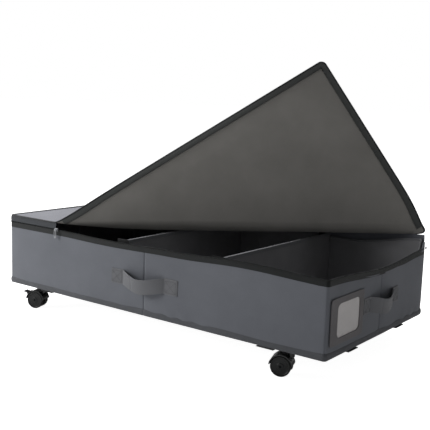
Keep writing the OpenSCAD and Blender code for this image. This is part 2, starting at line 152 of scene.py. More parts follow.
# %% [markdown]
# Two soft lamps light the box. One stands low at the left, close to the box, so that the long
# front is lighter at its left end and the end with the label lies in shade. The other hangs high
# above. It is the stronger lamp, and lights the lid and the inside.

# %% Soft lights
def soft_light(name, place, aim, size, power):
    """A square lamp that looks from place to aim."""
    lamp = bpy.data.lights.new(name, "AREA")
    lamp.shape, lamp.size, lamp.energy = "SQUARE", size, power
    holder = bpy.data.objects.new(name, lamp)
    bpy.context.scene.collection.objects.link(holder)
    holder.location = place
    holder.rotation_euler = (Vector(aim) - Vector(place)).to_track_quat("-Z", "Y").to_euler()


soft_light("light_left", (-1.4, -1.25, 0.8), (-0.4, -0.2, 0.15), 0.8, 18.5)
soft_light("light_above", (-0.9, 0.5, 3.0), (-0.3, 0, 0.2), 2.0, 100)

# %% [markdown]
# ## Finishes
# Each finish is a small network of nodes. Colours are given as they look on a screen, from 0 to
# 255, and turned into the linear light that the shader wants.

# %% Colour and node helpers
def colour(r, g, b):
    """A screen colour from 0 to 255 as linear light."""
    linear = [c / 255 / 12.92 if c < 11 else ((c / 255 + 0.055) / 1.055) ** 2.4 for c in (r, g, b)]
    return (*linear, 1.0)


class Finish:
    """A material with a few short ways to add nodes to it."""

    def __init__(self, name, roughness, sheen=0.0, specular=0.5, metallic=0.0):
        self.material = bpy.data.materials.new(name)
        self.material.use_nodes = True
        self.tree = self.material.node_tree
        self.shader = self.tree.nodes["Principled BSDF"]
        self.shader.inputs["Roughness"].default_value = roughness
        self.shader.inputs["Sheen Weight"].default_value = sheen
        self.shader.inputs["Sheen Roughness"].default_value = 0.5
        self.shader.inputs["Specular IOR Level"].default_value = specular
        self.shader.inputs["Metallic"].default_value = metallic

    def node(self, kind, **values):
        made = self.tree.nodes.new(kind)
        for key, value in values.items():
            setattr(made, key, value)
        return made

    def link(self, source, target):
        self.tree.links.new(source, target)

    def place(self, output="Object", scale=(1, 1, 1), turn=0.0):
        """Coordinates in metres, from the object or from its UV map, stretched and turned."""
        source = self.node("ShaderNodeTexCoord")
        mapping = self.node("ShaderNodeMapping")
        mapping.inputs["Scale"].default_value = scale
        mapping.inputs["Rotation"].default_value = (0, 0, turn)
        self.link(source.outputs[output], mapping.inputs["Vector"])
        return mapping.outputs["Vector"]

    def noise(self, where, scale, detail=3.0, roughness=0.5):
        made = self.node("ShaderNodeTexNoise")
        made.inputs["Scale"].default_value = scale
        made.inputs["Detail"].default_value = detail
        made.inputs["Roughness"].default_value = roughness
        self.link(where, made.inputs["Vector"])
        return made.outputs["Fac"]

    def ramp(self, value, low, high, at=(0.35, 0.65)):
        made = self.node("ShaderNodeValToRGB")
        made.color_ramp.elements[0].position, made.color_ramp.elements[1].position = at
        made.color_ramp.elements[0].color, made.color_ramp.elements[1].color = low, high
        self.link(value, made.inputs["Fac"])
        return made.outputs["Color"]

    def math(self, kind, a, b):
        made = self.node("ShaderNodeMath", operation=kind)
        for socket, value in zip(made.inputs, (a, b)):
            if isinstance(value, (int, float)):
                socket.default_value = value
            else:
                self.link(value, socket)
        return made.outputs["Value"]

    def bump(self, height, strength, distance):
        made = self.node("ShaderNodeBump")
        made.inputs["Strength"].default_value = strength
        made.inputs["Distance"].default_value = distance
        self.link(height, made.inputs["Height"])
        self.link(made.outputs["Normal"], self.shader.inputs["Normal"])

    def waves(self, where, direction, pitch):
        """Even bands, one every pitch metres."""
        made = self.node("ShaderNodeTexWave", bands_direction=direction, wave_profile="SIN")
        made.inputs["Scale"].default_value = 2 * math.pi / 20 / pitch
        self.link(where, made.inputs["Vector"])
        return made.outputs["Fac"]


print("a colour in linear light:", [round(c, 3) for c in colour(100, 102, 108)])

# %% [markdown]
# Polyester cloth is a plain weave: threads one way pass over and under threads the other way. Two
# sets of bands multiplied together give the little squares. A slow noise under them gives the
# uneven, slightly cloudy look that coated cloth has, and a faint sheen lifts it at the edges.

# %% Woven cloth
def woven(name, dark, light, pitch=0.9 * MM, depth=0.35, sheen=0.15, roughness=0.72, cloud=7.0):
    """Plain woven cloth on the piece's own UV map, which is in metres."""
    made = Finish(name, roughness, sheen=sheen, specular=0.35)
    flat = made.place("UV")
    threads = made.math("MULTIPLY", made.waves(flat, "X", pitch), made.waves(flat, "Y", pitch))
    clouds = made.noise(flat, cloud, 5.0, 0.62)
    tone = made.math("ADD", made.math("MULTIPLY", clouds, 0.86), made.math("MULTIPLY", threads, 0.14))
    made.link(made.ramp(tone, dark, light, (0.3, 0.72)), made.shader.inputs["Base Color"])
    fluff = made.noise(flat, 900.0, 2.0)
    height = made.math("ADD", threads, made.math("MULTIPLY", fluff, 0.6))
    made.bump(height, depth, 0.25 * MM)
    return made.material


shell_cloth = woven("shell_cloth", colour(99, 102, 109), colour(111, 114, 121))
lid_cloth = woven("lid_cloth", colour(118, 119, 126), colour(133, 134, 141))
flap_lining = woven("flap_lining", colour(128, 126, 122), colour(142, 140, 136), roughness=0.85,
                    sheen=0.05)
wall_lining = woven("wall_lining", colour(124, 124, 126), colour(142, 142, 145), roughness=0.9,
                    sheen=0.05)
base_cloth = woven("base_cloth", colour(58, 59, 62), colour(68, 69, 73))
floor_cloth = woven("floor_cloth", colour(104, 104, 106), colour(120, 120, 122), roughness=0.9,
                    sheen=0.05)
binding_cloth = woven("binding_cloth", colour(104, 105, 108), colour(122, 123, 127), 0.6 * MM, 0.5)
label_cloth = woven("label_cloth", colour(98, 95, 97), colour(112, 109, 111), 0.7 * MM, 0.4)
print("cloths", [m.name for m in (shell_cloth, lid_cloth, flap_lining, wall_lining)])

# %% [markdown]
# Webbing is woven much more coarsely than cloth, with ribs right across it. Zip tape is a fine
# slanted twill. Both are one band pattern with a little noise, so they share a function.

# %% Webbing and tape
def ribbed(name, dark, light, pitch, direction="X", slant=0.0, depth=0.8, roughness=0.78):
    """A ribbed or slanted weave on the piece's UV map."""
    made = Finish(name, roughness, sheen=0.2, specular=0.3)
    flat = made.place("UV", turn=slant)
    ribs = made.waves(flat, direction, pitch)
    fibres = made.noise(flat, 1400.0, 2.0)
    tone = made.math("ADD", made.math("MULTIPLY", ribs, 0.55), made.math("MULTIPLY", fibres, 0.45))
    made.link(made.ramp(tone, dark, light, (0.2, 0.8)), made.shader.inputs["Base Color"])
    made.bump(tone, depth, 0.3 * MM)
    return made.material


handle_webbing = ribbed("handle_webbing", colour(90, 91, 94), colour(126, 127, 131), 1.7 * MM)
strap_webbing = ribbed("strap_webbing", colour(22, 24, 25), colour(38, 40, 42), 1.9 * MM)
zip_tape = ribbed("zip_tape", colour(14, 17, 17), colour(28, 31, 31), 0.8 * MM, slant=0.7, depth=0.4)
flap_tape_cloth = ribbed("flap_tape_cloth", colour(66, 68, 67), colour(82, 84, 83), 0.8 * MM, slant=0.7,
                         depth=0.4)
closed_tape = ribbed("closed_tape", colour(44, 47, 51), colour(60, 63, 68), 0.8 * MM, slant=0.7,
                     depth=0.4)
piping_cloth = ribbed("piping_cloth", colour(28, 30, 32), colour(44, 46, 49), 1.0 * MM, depth=0.5)
hook_tape = ribbed("hook_tape", colour(8, 9, 10), colour(24, 26, 27), 1.3 * MM, depth=1.0,
                   roughness=0.95)
print("webbing and tapes ready")

# %% [markdown]
# Hard parts are moulded nylon, grey enamel, zinc and plain board. Their patterns lie on Object
# coordinates, because hard pieces have no cloth direction. A slow unevenness in the gloss breaks
# up the highlight as handling does, and a fine grain lies in the surface itself.

# %% Hard finishes
def moulded(name, dark, light, roughness, grain=260.0, depth=0.15, metallic=0.0, coat=0.0):
    """Plastic, enamel or metal with a fine grain and slightly uneven gloss."""
    made = Finish(name, roughness, specular=0.5, metallic=metallic)
    where = made.place("Object")
    wear = made.noise(where, 38.0, 4.0, 0.6)
    made.link(made.ramp(wear, dark, light), made.shader.inputs["Base Color"])
    low, high = roughness * 0.8, min(1.0, roughness * 1.25)
    made.link(made.ramp(wear, (low,) * 3 + (1,), (high,) * 3 + (1,)), made.shader.inputs["Roughness"])
    made.shader.inputs["Coat Weight"].default_value = coat
    made.bump(made.noise(where, grain, 2.0), depth, 0.12 * MM)
    return made.material


gloss_nylon = moulded("gloss_nylon", colour(9, 11, 12), colour(16, 19, 20), 0.28, coat=0.2)
satin_nylon = moulded("satin_nylon", colour(10, 12, 12), colour(18, 21, 21), 0.45)
pedal_nylon = moulded("pedal_nylon", colour(20, 23, 23), colour(34, 38, 38), 0.3)
coil_nylon = moulded("coil_nylon", colour(18, 20, 21), colour(32, 35, 36), 0.4)
grey_enamel = moulded("grey_enamel", colour(120, 122, 125), colour(142, 144, 147), 0.35, metallic=0.5)
zinc = moulded("zinc", colour(150, 151, 153), colour(186, 187, 189), 0.35, grain=420.0, metallic=1.0)
black_steel = moulded("black_steel", colour(20, 22, 23), colour(34, 36, 38), 0.4, grain=420.0,
                      metallic=1.0)
tube_paint = moulded("tube_paint", colour(132, 134, 136), colour(150, 152, 154), 0.4)
hardboard = moulded("hardboard", colour(132, 108, 82), colour(160, 134, 104), 0.85, grain=600.0,
                    depth=0.5)
card_stock = moulded("card_stock", colour(212, 208, 207), colour(221, 217, 216), 0.7, grain=900.0,
                     depth=0.2)
thread = moulded("thread", colour(70, 71, 74), colour(96, 97, 101), 0.8, grain=1500.0)
film = Finish("clear_film", 0.12, specular=0.5)
film.shader.inputs["Base Color"].default_value = colour(214, 213, 213)
film.shader.inputs["Alpha"].default_value = 0.22
film.bump(film.noise(film.place("Object"), 60.0, 3.0), 0.1, 0.3 * MM)
clear_film = film.material
print("hard finishes ready")

# %% [markdown]
# ## Ways of working
# Nearly everything here is cloth cut from a flat piece, so the main helper adds a flat primitive
# grid and lays its points where a formula says. The grid's own UV map is rewritten in metres, so a
# weave has its real size on every piece. A modifier gives the cloth its thickness.

# %% A grid of cloth, laid by a formula
def only(piece):
    """Selects this piece and nothing else."""
    bpy.ops.object.select_all(action="DESELECT")
    piece.select_set(True)
    bpy.context.view_layer.objects.active = piece


def edit(piece, tool, **values):
    """Uses one of the mesh editing tools on the whole of a piece."""
    only(piece)
    bpy.ops.object.mode_set(mode="EDIT")
    bpy.ops.mesh.select_all(action="SELECT")
    tool(**values)
    bpy.ops.object.mode_set(mode="OBJECT")


def joined(name, pieces):
    """Makes one piece of several."""
    only(pieces[0])
    for piece in pieces:
        piece.select_set(True)
    bpy.ops.object.join()
    whole = bpy.context.object
    whole.name = whole.data.name = name
    return whole


def cloth(name, columns, rows, lay, closed=False):
    """lay(i, j) gives the points and the flat coordinates of a grid of columns x rows squares."""
    bpy.ops.object.select_all(action="DESELECT")
    bpy.ops.mesh.primitive_grid_add(x_subdivisions=columns, y_subdivisions=rows, size=1.0)
    piece = bpy.context.object
    piece.name = piece.data.name = name
    mesh = piece.data
    grid = np.empty(len(mesh.vertices) * 3)
    mesh.vertices.foreach_get("co", grid)
    grid = grid.reshape(-1, 3) + 0.5
    i, j = np.rint(grid[:, 0] * columns).astype(int), np.rint(grid[:, 1] * rows).astype(int)
    points, flat = lay(i, j)
    mesh.vertices.foreach_set("co", np.ascontiguousarray(points, float).ravel())
    corners = np.empty(len(mesh.loops), int)
    mesh.loops.foreach_get("vertex_index", corners)
    flat = np.ascontiguousarray(flat[corners], np.float32)
    mesh.uv_layers[0].data.foreach_set("uv", flat.ravel())
    mesh.update()
    if closed:
        edit(piece, bpy.ops.mesh.remove_doubles, threshold=0.01 * MM)
    return piece


def modify(piece, kind, **values):
    """Adds a modifier with these values and applies it."""
    only(piece)
    made = piece.modifiers.new(kind.lower(), kind)
    for key, value in values.items():
        setattr(made, key, value)
    bpy.ops.object.modifier_apply(modifier=made.name)
    return piece


def thicken(piece, thickness, offset=-1.0, **values):
    return modify(piece, "SOLIDIFY", thickness=thickness, offset=offset, **values)


SMOOTH_BELOW = math.radians(40)


def dress(piece, body, slot, *materials, stands_for=()):
    """Gives a piece its finish, its smooth shading, its body and the nodes that it stands for."""
    for material in materials:
        piece.data.materials.append(material)
    only(piece)
    bpy.ops.object.shade_smooth_by_angle(angle=SMOOTH_BELOW)
    if body:
        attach(piece, body)
    if stands_for:
        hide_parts(*stands_for)
    print(f"{piece.name}: {len(piece.data.polygons)} faces")
    return piece


def ripple(a, b, size):
    """A calm unevenness from -1 to 1 over a cloth measured in metres."""
    x, y = a / size, b / size
    return (np.sin(x + 1.7 * np.sin(0.8 * y)) + np.sin(1.3 * y + 1.1 * np.sin(0.9 * x + 2.0))
            + np.sin(0.7 * (x + y) + 4.0)) / 3


def stack(*columns):
    """Puts coordinates side by side, one point to a row."""
    return np.stack(np.broadcast_arrays(*columns), axis=-1)


def run_along(path):
    """How far along a path each of its points is, from 0 at the first."""
    steps = np.linalg.norm(np.diff(path, axis=0), axis=1)
    return np.concatenate([[0], np.cumsum(steps)])


print("tools for cloth ready")

# %% [markdown]
# Teeth and stitches repeat hundreds of times. One is modelled, and its points are copied to every
# place along a line, turned to the line and to the face that it sits on, into one mesh.

# %% One small shape, many times
def small_block(size, bevel):
    """A block with bevelled edges, as a list of points and faces."""
    bpy.ops.object.select_all(action="DESELECT")
    bpy.ops.mesh.primitive_cube_add(size=1.0)
    block = bpy.context.object
    bpy.ops.transform.resize(value=size)
    bpy.ops.object.transform_apply(location=False, rotation=False, scale=True)
    edit(block, bpy.ops.mesh.bevel, offset=bevel, segments=1)
    points = np.array([v.co for v in block.data.vertices])
    faces = [tuple(p.vertices) for p in block.data.polygons]
    bpy.data.objects.remove(block)
    return points, faces


def repeat(name, block, places, along, out):
    """Copies the block to each place, its X along the line and its Z away from the face."""
    points, faces = block
    along = along / np.linalg.norm(along, axis=1)[:, None]
    out = out - (out * along).sum(1)[:, None] * along
    out = out / np.linalg.norm(out, axis=1)[:, None]
    side = np.cross(out, along)
    turned = (points[None, :, 0, None] * along[:, None] + points[None, :, 1, None] * side[:, None]
              + points[None, :, 2, None] * out[:, None] + places[:, None])
    count = len(points)
    mesh = bpy.data.meshes.new(name)
    mesh.from_pydata(turned.reshape(-1, 3).tolist(), [],
                     [tuple(v + k * count for v in f) for k in range(len(places)) for f in faces])
    piece = bpy.data.objects.new(name, mesh)
    bpy.context.scene.collection.objects.link(piece)
    return piece


def spaced(path, pitch):
    """Points every pitch metres along a path, and the direction of the path there."""
    run = run_along(path)
    at = np.arange(pitch / 2, run[-1], pitch)
    places = stack(*[np.interp(at, run, path[:, k]) for k in range(3)])
    ahead = stack(*[np.interp(at + pitch / 2, run, path[:, k]) for k in range(3)])
    behind = stack(*[np.interp(at - pitch / 2, run, path[:, k]) for k in range(3)])
    return places, ahead - behind


STITCH = small_block((2.6 * MM, 0.7 * MM, 0.5 * MM), 0.2 * MM)
TOOTH = small_block((1.1 * MM, 3.4 * MM, 1.5 * MM), 0.35 * MM)
HALF_TOOTH = small_block((1.1 * MM, 2.2 * MM, 1.5 * MM), 0.35 * MM)
print("a stitch has", len(STITCH[1]), "faces")

# %% [markdown]
# ## The walls
# The outer cloth is one strip sewn into a ring round four pairs of boards. The boards end at the
# middle of each side, where the box folds flat for storage, so the cloth dips into a narrow groove
# there. Its points lie closer together at the groove and round the corners.

# %% The line round the box
def ring(inset, radius, step=9 * MM):
    """Points round the box from the back left corner, their outward directions and side coordinate."""
    near_seam = [k * MM for k in (1, 2, 3.2, 5)]
    spots, ways, across = [], [], []
    for quarter in range(4):
        run, out = ((half_d, half_l) if quarter % 2 == 0 else (half_l, half_d))
        run, out = run - inset - radius, out - inset
        half = sorted([k for k in np.arange(7 * MM, run, step)] + near_seam)
        turn = math.radians(90 * (quarter - 1))
        c, s = math.cos(turn), math.sin(turn)
        side = [-run] + [-k for k in half[::-1]] + [0.0] + half
        line = [(x, -out, 0.0, -1.0, x / run) for x in side]
        for angle in np.linspace(-90, 0, 7)[:-1]:
            a = math.radians(angle)
            line.append((run + radius * math.cos(a), -out + radius + radius * math.sin(a),
                         math.cos(a), math.sin(a), 1.0))
        for x, y, nx, ny, t in line:
            spots.append((c * x - s * y, s * x + c * y + centre_y))
            ways.append((c * nx - s * ny, s * nx + c * ny))
            across.append(t)
    return tuple(np.array(k + k[:1]) for k in (spots, ways, across))


def rim_drop(x, y):
    """How far the open top edge hangs below or stands above its straight line."""
    along_front = np.clip((x - slider_x) / (half_l - slider_x), 0, 1)
    front = np.where(along_front < 0.5, -3 * MM * np.sin(2 * np.pi * along_front) ** 2,
                     6 * MM * np.sin(2 * np.pi * along_front) ** 2)
    along_end = np.clip((y - front_y) / (back_y - front_y), 0, 1)
    end = -13 * MM * np.sin(np.pi * along_end ** 1.1) ** 2
    at_front, at_end = y < front_y + 25 * MM, x > half_l - 25 * MM
    return np.where(at_end, end, np.where(at_front, front, 0.0))


def fold_groove(across, width):
    """1 at the fold in the middle of a side, and 0 a little way off."""
    return np.exp(-(np.minimum(np.abs(across) * half_l, 20 * MM) / width) ** 2)


CORNER_R = 7 * MM
wall_spots, wall_ways, wall_across = ring(0.0, CORNER_R)
wall_run = run_along(wall_spots)
print("the ring has", len(wall_spots), "points")

# %% [markdown]
# Over each board the cloth stands out a little, like a thin cushion, and it puckers just above the
# bottom hem, where the two rows of sewing pull it together. The top follows the open rim.

# %% Outer cloth
fold_start = Vector(fold["pos_m"])
fold_line = -Vector(fold["axis"])
flat_line = Vector((fold_line.x, fold_line.y, 0)).normalized()
across_fold = Vector((flat_line.y, -flat_line.x, 0))
fold_slope = fold_line.z / math.hypot(fold_line.x, fold_line.y)
fold_run = math.hypot(half_l - fold_start.x, back_y - fold_start.y)


def to_fold(x, y):
    """How far a point of the flat lid is along the fold, and how far in front of it."""
    dx, dy = x - fold_start.x, y - fold_start.y
    return dx * flat_line.x + dy * flat_line.y, dx * across_fold.x + dy * across_fold.y


def fold_lift(x, y):
    """How far the fold, which climbs to the rear corner, draws up the lid behind it."""
    a, d = to_fold(x, y)
    drawn_up = np.maximum(0.13 * a, 20 * MM)
    sink = np.clip(-d / drawn_up, 0, 1)
    return fold_slope * np.maximum(a, 0) * (1 - sink * sink * (3 - 2 * sink))


def fold_sag(x, y):
    """How far the bend hangs under its own weight, most of all at the rear corner."""
    a, d = to_fold(x, y)
    depth = (8 * MM * (1 - np.exp(-np.maximum(a, 0) / (80 * MM)))
             + 14 * MM * np.clip(a / fold_run, 0, 1))
    return depth * np.exp(-((d + 5 * MM) / (50 * MM)) ** 2)


def corner_pull(x, y):
    """The back wall is drawn up at the right, where the lid is sewn to it and stands up."""
    return np.where(y > back_y - 25 * MM, fold_lift(x, back_y) * 0.7, 0.0)


def wall_skin(spots, ways, across, low, high, puff=2.2 * MM, pucker=0.9 * MM):
    """A layer of wall cloth between two heights, as a function that cloth() can use."""
    run = run_along(spots)

    def lay(rows):
        def place(i, j):
            t = j / rows
            x, y = spots[i, 0], spots[i, 1]
            up = high - low + rim_drop(x, y) + corner_pull(x, y)
            z = low + t * up
            share = (z - base_z) / wall_h
            half_board = np.abs(across[i]) * 2 - 1
            cushion = (1 - half_board ** 6) * (1 - (2 * np.clip(share, 0, 1) - 1) ** 4)
            groove = fold_groove(across[i], 2.2 * MM)
            folds = (np.sin(run[i] * 96 + 2.2 * np.sin(run[i] * 23))
                     * np.clip(np.sin(run[i] * 7.3), 0, 1))
            near_hem = np.exp(-((z - base_z - 17 * MM) / (14 * MM)) ** 2)
            out = (puff * cushion - 1.6 * MM * groove + pucker * near_hem * folds
                   + 0.7 * MM * ripple(run[i], z, 45 * MM) * cushion)
            spot = stack(x + ways[i, 0] * out, y + ways[i, 1] * out, z)
            return spot, stack(run[i], z)
        return place
    return lay


WALL_ROWS = 34
wall_cloth = wall_skin(wall_spots, wall_ways, wall_across, base_z + 1 * MM, cloth_top + 2 * MM)
skin = cloth("outer_cloth", len(wall_spots) - 1, WALL_ROWS, wall_cloth(WALL_ROWS), closed=True)
thicken(skin, 1.2 * MM)
dress(skin, "box", "shell_fabric", shell_cloth,
      stands_for=("front_panel", "back_panel", "left_panel", "right_panel"))

# %% [markdown]
# The back wall goes higher than the others, up to the lid that is sewn to it. On the real box that
# is a second strip of the same cloth, so it is one here too.

# %% Back rise
RISE_COLUMNS, RISE_ROWS = 120, 8


def back_rise(i, j):
    """A strip from the back wall up to the lid's rear edge."""
    x = -half_l + 4 * MM + (2 * half_l - 8 * MM) * i / RISE_COLUMNS
    t = j / RISE_ROWS
    low = cloth_top - 2 * MM + corner_pull(x, back_y)
    high = lid_z + fold_lift(x, back_y) - fold_sag(x, back_y)
    z = low + (high - low) * t
    y = back_y - 1.2 * MM + 1.6 * MM * np.sin(np.pi * t) - 1.5 * MM * t
    return stack(x, y, z), stack(x, z)


rise = cloth("back_rise", RISE_COLUMNS, RISE_ROWS, back_rise)
edit(rise, bpy.ops.mesh.flip_normals)
thicken(rise, 1.2 * MM)
dress(rise, "box", "shell_fabric", shell_cloth)

# %% [markdown]
# Inside, a thin lining hangs from the rim and is tucked under the floor board. It is the same kind
# of strip, set in by the thickness of the boards, and its light upper edge shows above the tape.

# %% Lining
lining_spots, lining_ways, lining_across = ring(6.5 * MM, 9 * MM)
LINING_ROWS = 16
lining_top = zip_z - 6 * MM
lining_skin = wall_skin(lining_spots, -lining_ways, lining_across, floor_hi.z - 1 * MM, lining_top,
                        puff=0.8 * MM, pucker=0.0)
lining = cloth("inner_lining", len(lining_spots) - 1, LINING_ROWS, lining_skin(LINING_ROWS),
               closed=True)
thicken(lining, 0.8 * MM, offset=1.0)
dress(lining, "box", "lining", wall_lining, stands_for=("wall_lining",))

# %% [markdown]
# The raw upper edge of the lining is bound with a narrow light tape. It is folded over the edge, so
# it is a thin flat tube that follows the same line as the lining.

# %% Bound edge of the lining
BINDING_SIDES, BINDING_R = 8, 1.5 * MM


def lining_edge(i, j):
    """A thin flat tube along the top of the lining."""
    angle = -2 * np.pi * j / BINDING_SIDES
    x, y = lining_spots[i, 0], lining_spots[i, 1]
    out, up = BINDING_R * np.cos(angle), 2 * BINDING_R * np.sin(angle)
    z = lining_top + rim_drop(x, y) + corner_pull(x, y) + up
    spot = stack(x + lining_ways[i, 0] * out, y + lining_ways[i, 1] * out, z)
    return spot, stack(x + y, angle * BINDING_R)


edge_binding = cloth("lining_binding", len(lining_spots) - 1, BINDING_SIDES, lining_edge,
                     closed=True)
edit(edge_binding, bpy.ops.mesh.normals_make_consistent, inside=False)
dress(edge_binding, "box", "binding", binding_cloth)

# %% [markdown]
# The boards at the right have to follow the hanging rim, so they are cut again: two thin boards
# whose top edge runs along the same curve as the cloth. The others stay as the frame has them.

# %% Boards of the right end
def end_boards():
    """Two boards side by side, with the fold between them."""
    low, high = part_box("right_boards")
    middle = (low + high) / 2
    gap = 3 * MM
    bpy.ops.object.select_all(action="DESELECT")
    halves = []
    for near, far in ((low.y, centre_y - gap), (centre_y + gap, high.y)):
        place = (middle.x, (near + far) / 2, middle.z)
        bpy.ops.mesh.primitive_cube_add(size=1.0, location=place)
        board = bpy.context.object
        bpy.ops.transform.resize(value=(high.x - low.x, far - near, high.z - low.z))
        bpy.ops.object.transform_apply(location=True, rotation=False, scale=True)
        edit(board, bpy.ops.mesh.subdivide, number_cuts=10)
        for vertex in board.data.vertices:
            share = (vertex.co.z - low.z) / (high.z - low.z)
            vertex.co.z += (rim_drop(half_l, vertex.co.y) - 1.5 * MM) * share
        halves.append(board)
    return joined("right_end_boards", halves)


dress(end_boards(), "box", "wall_board", hardboard, stands_for=("right_boards",))

# %% [markdown]
# ## Hem and base
# A folded tape is sewn round the foot of the walls. It stands proud of the cloth, with a round
# edge, and its upper edge makes the dark line that runs right round the box.

# %% Bottom hem
hem_lo, hem_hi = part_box("bottom_band")[0].z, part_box("bottom_band")[1].z
HEM_ROWS = 8


def hem_place(i, j):
    """A tape that stands off the wall in a round ridge."""
    t = j / HEM_ROWS
    run = wall_run[i]
    out = 0.2 * MM + 2.0 * MM * np.sin(np.pi * t) ** 0.5 + 0.4 * MM * ripple(run, t, 30 * MM)
    out = out - 1.0 * MM * fold_groove(wall_across[i], 2.0 * MM)
    x, y = wall_spots[i, 0] + wall_ways[i, 0] * out, wall_spots[i, 1] + wall_ways[i, 1] * out
    z = hem_lo - 1 * MM + (hem_hi - hem_lo) * t
    return stack(x, y, z), stack(run, z)


hem = cloth("bottom_hem", len(wall_spots) - 1, HEM_ROWS, hem_place, closed=True)
thicken(hem, 1.0 * MM)
hem_cloth = woven("hem_cloth", colour(74, 76, 80), colour(92, 94, 99), 0.7 * MM)
dress(hem, "box", "binding", hem_cloth, stands_for=("bottom_band",))

# %% [markdown]
# The base is plain cloth stretched over a tube frame. From below, the tubes show as soft ridges,
# and two pairs of webbing straps cross under them and hold the casters' places.

# %% Base cloth
BASE_COLUMNS, BASE_ROWS = 160, 80
CROSS_TUBE_X, END_TUBE_X, LONG_TUBE_Y = 290 * MM, 487.5 * MM, 237.5 * MM


def base_place(i, j):
    """A flat sheet with a soft ridge under each tube."""
    x = -half_l + 2.5 * MM + (2 * half_l - 5 * MM) * i / BASE_COLUMNS
    y = front_y + 2.5 * MM + (back_y - front_y - 5 * MM) * j / BASE_ROWS
    ridge = np.zeros(np.shape(x))
    for centre in (CROSS_TUBE_X, END_TUBE_X):
        ridge = ridge + np.exp(-((np.abs(x) - centre) / (8 * MM)) ** 2)
    ridge = ridge + np.exp(-((np.abs(y - centre_y) - LONG_TUBE_Y) / (8 * MM)) ** 2)
    z = base_z + 1.2 * MM - 0.8 * MM * np.clip(ridge, 0, 1) + 0.5 * MM * ripple(x, y, 60 * MM)
    return stack(x, y, z), stack(x, y)


base = cloth("base_cloth", BASE_COLUMNS, BASE_ROWS, base_place)
edit(base, bpy.ops.mesh.flip_normals)
thicken(base, 1.0 * MM)
dress(base, "box", "shell_fabric", base_cloth, stands_for=("bottom_panel",))

# %% [markdown]
# Two lengthwise straps of webbing pass over two short ones. Each is a long grid with a slight sag
# between the seams, thick enough to cast its own shadow.

# %% Straps under the base
STRAP_COLUMNS, STRAP_ROWS = 120, 6
STRAP_W = 44 * MM
LONG_STRAP_Y, SHORT_STRAP_X = 122 * MM, 352 * MM


def strap_place(along_x, centre, low):
    """A strap along the box or across it, as a function that cloth() can use."""
    start, length = (-half_l, 2 * half_l) if along_x else (front_y, 2 * half_d)

    def place(i, j):
        run = start + length * i / STRAP_COLUMNS
        across = centre + (j / STRAP_ROWS - 0.5) * STRAP_W
        z = low + 0.35 * MM * np.sin(run * 31 + centre * 50)
        spot = stack(run, across, z) if along_x else stack(across, run, z)
        return spot, stack(run, across)
    return place


strap_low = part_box("under_straps")[0].z
straps = []
for side in (-1, 1):
    long_way = strap_place(True, centre_y + side * LONG_STRAP_Y, strap_low + 0.4 * MM)
    short_way = strap_place(False, side * SHORT_STRAP_X, strap_low + 2.3 * MM)
    straps.append(cloth("long_strap", STRAP_COLUMNS, STRAP_ROWS, long_way))
    straps.append(cloth("short_strap", STRAP_COLUMNS, STRAP_ROWS, short_way))
straps = joined("base_straps", straps)
thicken(straps, 1.6 * MM, offset=0.0)
dress(straps, "box", "black_webbing", strap_webbing, stands_for=("under_straps",))

# %% [markdown]
# The floor inside is a board in a cloth cover. A thin slab, let down a little at its edges, with
# the cover's weave, is enough: the cover is pulled tight, so it has no folds.

# %% Covered floor board
COVER_COLUMNS, COVER_ROWS = 90, 50


def floor_place(i, j):
    """A level sheet whose edges turn down."""
    u, v = i / COVER_COLUMNS * 2 - 1, j / COVER_ROWS * 2 - 1
    x, y = u * (floor_hi.x - 1 * MM), centre_y + v * (floor_hi.y - centre_y - 1 * MM)
    edge = np.clip(np.maximum(np.abs(u) * 45 - 44, np.abs(v) * 25 - 24), 0, 1)
    z = floor_hi.z - 1.4 * MM * edge ** 2 + 0.3 * MM * ripple(x, y, 70 * MM) * (1 - edge)
    return stack(x, y, z), stack(x, y)


cover = cloth("floor_board_cover", COVER_COLUMNS, COVER_ROWS, floor_place)
thicken(cover, 3.0 * MM)
dress(cover, "box", "floor_board", floor_cloth, stands_for=("floor_board",))

# %% [markdown]
# ## The lid
# The lid is one continuous piece of stiffened cloth. It lies on the box at the left, turns up in a
# soft bend along a slanting line, and stands as a free corner at the right. We lay out the flat
# rectangle first, measured along the fold and across it, and bend it in one formula. Everything
# that is sewn to the lid uses the same formula, so it stays on the lid. Three lengths shape the
# cloth: how far the free corner's hollow reaches, how far the sink behind the fold reaches, and how
# wide the calm edge beside a seam is.

# %% The bend of the lid
lid_up = across_fold.cross(fold_line)
OPEN = math.radians(102)
LID_INSET, LID_CORNER = 0.0, 13 * MM
CORNER_REACH, SINK_REACH, CALM_EDGE = 360 * MM, 250 * MM, 60 * MM


def bend_radius(a):
    """Tight at the slider, softer in the middle, and a loose round loop at the rear corner."""
    along = np.clip(a / fold_run, 0, 1)
    return 5 * MM + 11 * MM * np.clip(np.sin(np.pi * along), 0, 1) ** 0.7 + 13 * MM * along ** 4


